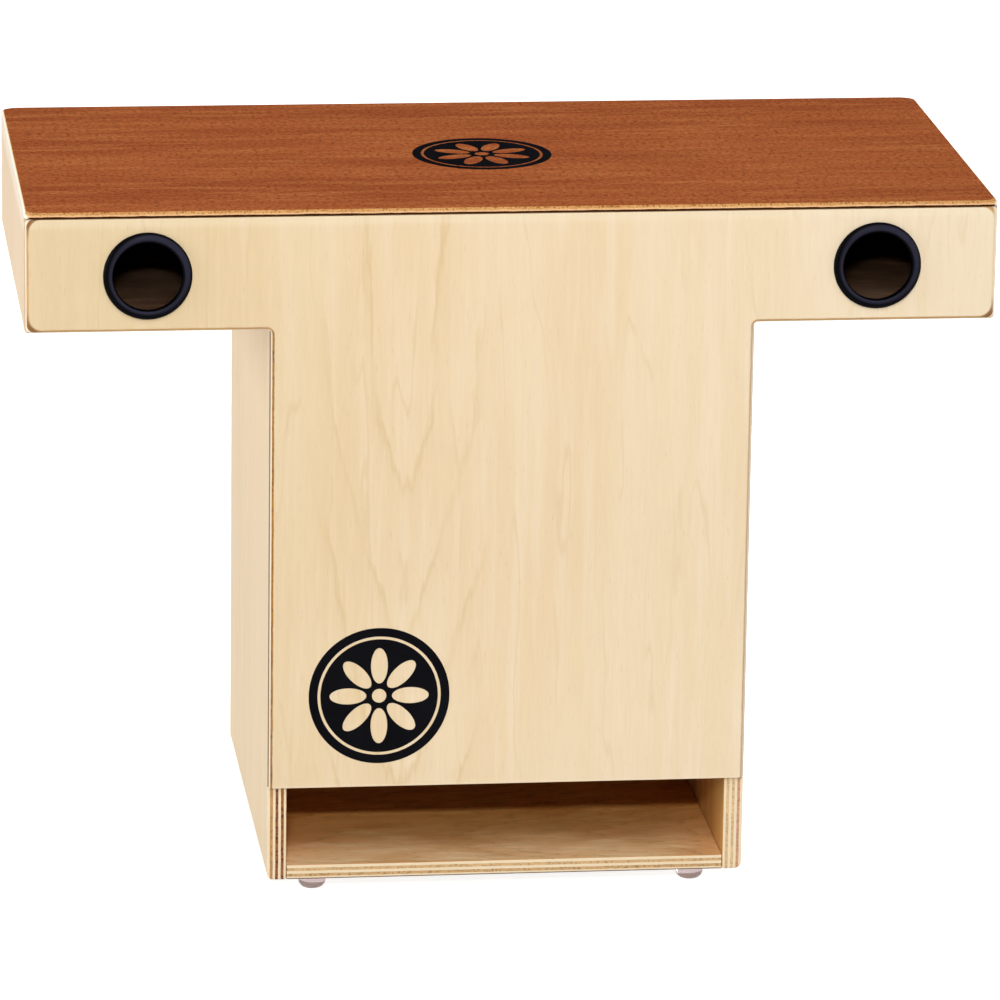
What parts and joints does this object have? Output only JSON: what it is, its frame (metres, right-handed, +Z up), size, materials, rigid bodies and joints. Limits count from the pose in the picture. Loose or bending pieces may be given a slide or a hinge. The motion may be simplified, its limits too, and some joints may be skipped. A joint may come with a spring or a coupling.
{
  "type": "slaptop cajon",
  "caption": "T-shaped wooden box drum on a narrow stem, played on its flat top, with round sound ports in its wings, a bass port at its foot and snares inside.",
  "frame": {"origin": "on the floor, under the middle of the drum's bounding box", "axes": "+X along the wings to the right as seen from the sound ports, +Y from the ports to the player's side, +Z up"},
  "size_m": [0.6, 0.3014, 0.4431],
  "materials": {
    "mahogany": "red-brown open-pored veneer, satin lacquer",
    "maple_veneer": "pale cream veneer, satin lacquer",
    "birch_plywood": "seven-ply board, satin lacquer, plies showing at the edges",
    "spruce": "planed softwood, unfinished",
    "black_plastic": "black with a soft sheen",
    "clip_steel": "zinc plated strip",
    "wire_steel": "bright spiral wire",
    "screw_steel": "zinc plated",
    "clear_plastic": "clear soft polyurethane"
  },
  "bodies": {
    "root": {"playing_surface": "mahogany", "front_panel": "maple_veneer", "back_panel": "maple_veneer", "bottom_panel": "birch_plywood", "stem_side_left": "birch_plywood", "stem_side_right": "birch_plywood", "wing_floor_left": "birch_plywood", "wing_floor_right": "birch_plywood", "wing_end_left": "birch_plywood", "wing_end_right": "birch_plywood", "front_ledger": "spruce", "back_ledger": "spruce", "port_ring_left": "black_plastic", "port_ring_right": "black_plastic", "snare_bar_left": "spruce", "snare_bar_right": "spruce", "snare_clip_left": "clip_steel", "snare_clip_right": "clip_steel", "snare_wires_left": "wire_steel", "snare_wires_right": "wire_steel", "snare_screw_left_front": "screw_steel", "snare_screw_left_back": "screw_steel", "snare_screw_right_front": "screw_steel", "snare_screw_right_back": "screw_steel", "foot_front_left": "clear_plastic", "foot_front_right": "clear_plastic", "foot_back_left": "clear_plastic", "foot_back_right": "clear_plastic"}
  },
  "joints": []
}
